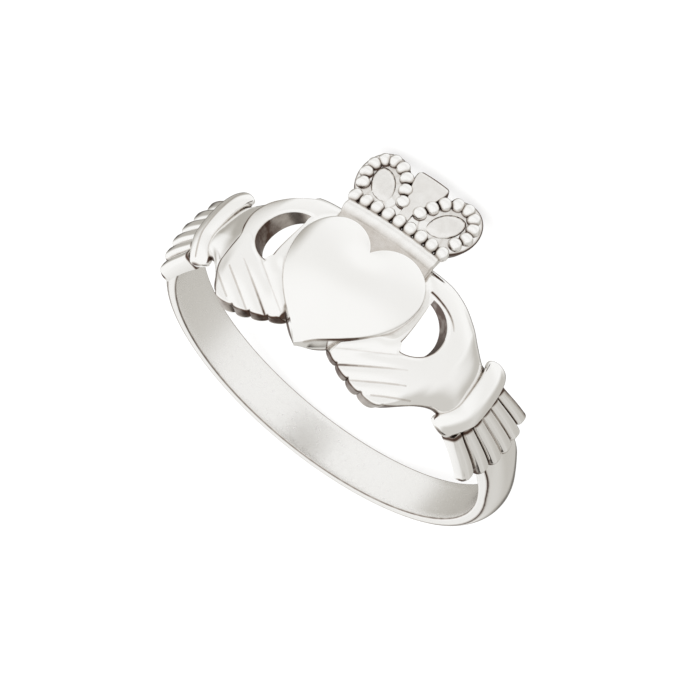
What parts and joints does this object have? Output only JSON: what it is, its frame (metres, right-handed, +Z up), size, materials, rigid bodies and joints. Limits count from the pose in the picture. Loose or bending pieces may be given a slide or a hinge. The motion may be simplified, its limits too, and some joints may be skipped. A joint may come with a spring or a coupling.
{
  "type": "claddagh ring",
  "caption": "Cast silver finger ring: the band rises through pleated cuffs into hands that hold a domed heart under a beaded crown.",
  "frame": {"origin": "on the surface that the ring lies on, under the middle of its bounding box", "axes": "+Z up from the surface; +Y from the heart towards the back of the band; +X across the head"},
  "size_m": [0.0192, 0.0202, 0.011],
  "materials": {
    "silver": "polished"
  },
  "bodies": {
    "root": {"ring": "silver"}
  },
  "joints": []
}
